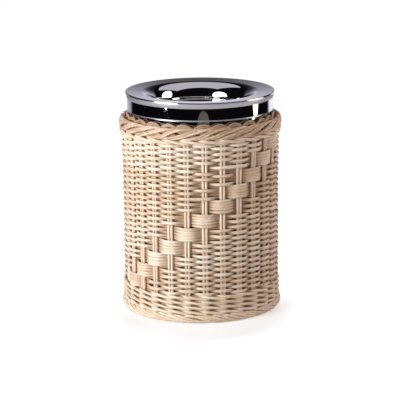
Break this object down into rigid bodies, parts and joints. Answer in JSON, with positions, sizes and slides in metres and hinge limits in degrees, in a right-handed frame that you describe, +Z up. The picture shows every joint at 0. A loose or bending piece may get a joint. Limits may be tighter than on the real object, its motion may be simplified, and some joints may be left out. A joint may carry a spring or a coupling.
{
  "type": "wastebasket",
  "caption": "Round wastebasket: woven rattan basket round a lift-out chromed bucket, closed by a chromed lid with a swing flap.",
  "frame": {"origin": "middle of the foot border's underside, on the surface that the basket stands on", "axes": "+Z up, front towards -Y, the flap's pivots on the X axis"},
  "size_m": [0.2056, 0.2056, 0.276],
  "materials": {
    "rattan": "natural peeled rattan, unvarnished",
    "plywood": "sanded birch plywood",
    "chrome": "polished chrome on steel sheet",
    "zinc": "zinc-plated steel",
    "nylon": "natural nylon"
  },
  "bodies": {
    "basket": {"base_board": "plywood", "foot_border": "rattan", "lower_wale": "rattan", "side_weave_lower": "rattan", "side_weave_middle": "rattan", "side_weave_upper": "rattan", "upper_wale": "rattan", "border_outer_roll": "rattan", "border_inner_roll": "rattan", "stake_pair_01": "rattan", "stake_pair_02": "rattan", "stake_pair_03": "rattan", "stake_pair_04": "rattan", "stake_pair_05": "rattan", "stake_pair_06": "rattan", "stake_pair_07": "rattan", "stake_pair_08": "rattan", "stake_pair_09": "rattan", "stake_pair_10": "rattan", "stake_pair_11": "rattan", "stake_pair_12": "rattan", "stake_pair_13": "rattan", "stake_pair_14": "rattan", "stake_pair_15": "rattan", "stake_pair_16": "rattan", "stake_pair_17": "rattan", "stake_pair_18": "rattan", "stake_pair_19": "rattan", "stake_pair_20": "rattan", "stake_pair_21": "rattan", "stake_pair_22": "rattan", "stake_pair_23": "rattan", "stake_pair_24": "rattan", "stake_pair_25": "rattan", "stake_pair_26": "rattan", "stake_pair_27": "rattan"},
    "bucket": {"bucket_wall": "chrome", "bucket_floor": "chrome", "bucket_rim_bead": "chrome"},
    "lid": {"lid_pan": "chrome", "lid_skirt": "chrome", "pivot_bush_left": "nylon", "pivot_bush_right": "nylon"},
    "flap": {"flap_disc": "chrome", "flap_bracket_left": "zinc", "flap_bracket_right": "zinc", "pivot_pin_left": "zinc", "pivot_pin_right": "zinc", "flap_weight": "zinc", "weight_screw": "zinc"}
  },
  "joints": [
    {"name": "bucket_lift", "type": "slide", "parent": "basket", "child": "bucket", "axis": [0, 0, 1], "range_m": [0, 0.26]},
    {"name": "lid_lift", "type": "slide", "parent": "bucket", "child": "lid", "axis": [0, 0, 1], "range_m": [0, 0.06]},
    {"name": "flap_swing", "type": "hinge", "parent": "lid", "child": "flap", "pos_m": [0, 0, 0.251], "axis": [1, 0, 0], "range_deg": [-80, 80]}
  ]
}
